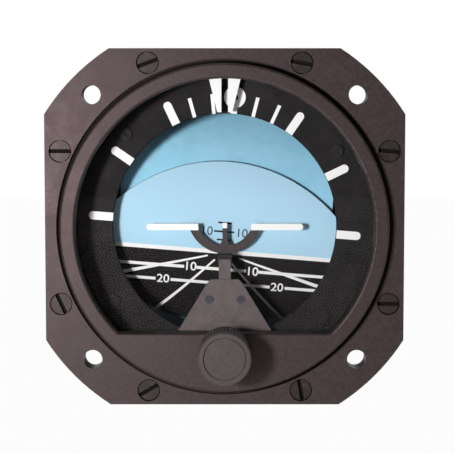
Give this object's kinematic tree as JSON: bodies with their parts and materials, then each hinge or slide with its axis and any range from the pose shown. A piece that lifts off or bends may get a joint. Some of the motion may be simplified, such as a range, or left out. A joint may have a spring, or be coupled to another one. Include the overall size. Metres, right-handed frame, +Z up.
{
  "type": "attitude indicator",
  "caption": "Round air-driven attitude indicator with a square flange, a flat-bottomed window, a rolling bank ring, a pitching horizon bar and an adjustable aircraft symbol.",
  "frame": {"origin": "centre of the flange face that lies against the panel, on the instrument's axis", "axes": "+Y points rearwards along the case, so the dial faces -Y; +Z is up; +X is to the right of someone who looks at the dial"},
  "size_m": [0.0852, 0.167, 0.0846],
  "materials": {
    "bezel_paint": "matt wrinkle-free dark brown-grey paint",
    "case_paint": "satin black paint",
    "ring_paint": "matt charcoal paint with white marks",
    "dial_black": "matt black paint",
    "pedestal_paint": "matt dark grey paint",
    "white_paint": "matt white paint",
    "sky_paint": "matt blue paint",
    "horizon_paint": "matt paint, light blue above and black below a white line",
    "knob_black": "black anodised, turned and knurled",
    "black_steel": "black oxide",
    "steel_screws": "bright zinc",
    "steel_plain": "ground",
    "bearing_steel": "polished",
    "aluminium_plain": "machined",
    "brass_plain": "machined",
    "clear_glass": "polished, clear",
    "gasket_rubber": "matt",
    "filter_felt": "felt"
  },
  "bodies": {
    "case": {"bezel": "bezel_paint", "bezel_screws": "black_steel", "window_glass": "clear_glass", "glass_gasket": "gasket_rubber", "bezel_gasket": "gasket_rubber", "case_flange": "case_paint", "case_shell": "case_paint", "rear_cover_gasket": "gasket_rubber", "rear_cover": "case_paint", "bearing_hub": "case_paint", "rear_cover_screws": "steel_screws", "filter_element": "filter_felt", "filter_cap": "aluminium_plain", "filter_cap_screws": "steel_screws", "mask_ring": "dial_black", "bank_index": "white_paint", "pedestal_plate": "pedestal_paint", "slide_guide": "brass_plain", "pedestal_rivets": "pedestal_paint", "mask_ring_rivets": "dial_black", "knob_bushing": "brass_plain", "roll_bearing_outer_races": "bearing_steel"},
    "knob_assembly": {"knob": "knob_black", "knob_set_screw": "black_steel", "knob_shaft": "steel_plain", "shaft_clip": "steel_plain", "knob_pinion": "brass_plain"},
    "symbol": {"symbol_slide": "pedestal_paint", "symbol_arc": "pedestal_paint", "symbol_wings": "white_paint", "symbol_rivets": "white_paint"},
    "roll_gimbal": {"bank_ring": "ring_paint", "bank_ring_screws": "black_steel", "gimbal_frame": "dial_black", "gimbal_trunnion": "steel_plain", "trunnion_screws": "steel_screws", "roll_bearing_inner_races": "bearing_steel", "trunnion_nut": "steel_plain", "horizon_pivot_pins": "steel_plain", "pitch_bearings": "bearing_steel", "tie_bars": "aluminium_plain", "tie_bar_screws": "steel_screws", "sky_plate_posts": "aluminium_plain", "sky_plate": "sky_paint"},
    "horizon_bar": {"horizon_plate": "horizon_paint", "horizon_arms": "aluminium_plain", "horizon_sector": "brass_plain", "horizon_counterweight": "brass_plain", "horizon_rivets": "steel_plain"},
    "rotor_housing": {"housing_upper": "aluminium_plain", "housing_lower": "aluminium_plain", "housing_screws": "steel_screws", "pitch_pivots": "steel_plain", "pitch_pinion": "brass_plain", "rotor_bearings": "bearing_steel", "erection_unit": "aluminium_plain"},
    "side_vane_pair": {"side_vanes": "steel_plain"},
    "front_vane_pair": {"front_vanes": "steel_plain"},
    "rotor": {"gyro_rotor": "brass_plain", "rotor_shaft": "steel_plain"}
  },
  "joints": [
    {"name": "knob_turn", "type": "hinge", "parent": "case", "child": "knob_assembly", "pos_m": [0, 0, -0.029], "axis": [0, 1, 0], "range_deg": [-57.3, 57.3]},
    {"name": "symbol_height", "type": "slide", "parent": "case", "child": "symbol", "axis": [0, 0, 1], "range_m": [-0.0025, 0.0025]},
    {"name": "roll", "type": "hinge", "parent": "case", "child": "roll_gimbal", "pos_m": [0, 0.05, 0], "axis": [0, 1, 0], "continuous": true},
    {"name": "pitch", "type": "hinge", "parent": "roll_gimbal", "child": "rotor_housing", "pos_m": [0, 0.0873, 0], "axis": [0.9969, 0, -0.0785], "range_deg": [-38.8, 81.2]},
    {"name": "horizon_pitch", "type": "hinge", "parent": "roll_gimbal", "child": "horizon_bar", "pos_m": [0, 0.0523, 0], "axis": [0.9969, 0, -0.0785], "range_deg": [-32.5, 15.6]},
    {"name": "rotor_spin", "type": "hinge", "parent": "rotor_housing", "child": "rotor", "pos_m": [0, 0.0873, 0], "axis": [0.0731, 0.3616, 0.9294], "continuous": true},
    {"name": "side_vane_swing", "type": "hinge", "parent": "rotor_housing", "child": "side_vane_pair", "pos_m": [-0.00132, 0.08079, -0.01673], "axis": [0.9969, 0, -0.0785], "range_deg": [-10, 10]},
    {"name": "front_vane_swing", "type": "hinge", "parent": "rotor_housing", "child": "front_vane_pair", "pos_m": [-0.00151, 0.07985, -0.01915], "axis": [-0.0284, 0.9323, -0.3605], "range_deg": [-10, 10]}
  ],
  "couplings": [
    {"joint": "knob_turn", "follows": "symbol_height", "rad_per_m": 400},
    {"joint": "horizon_pitch", "follows": "pitch", "ratio": -0.4}
  ]
}
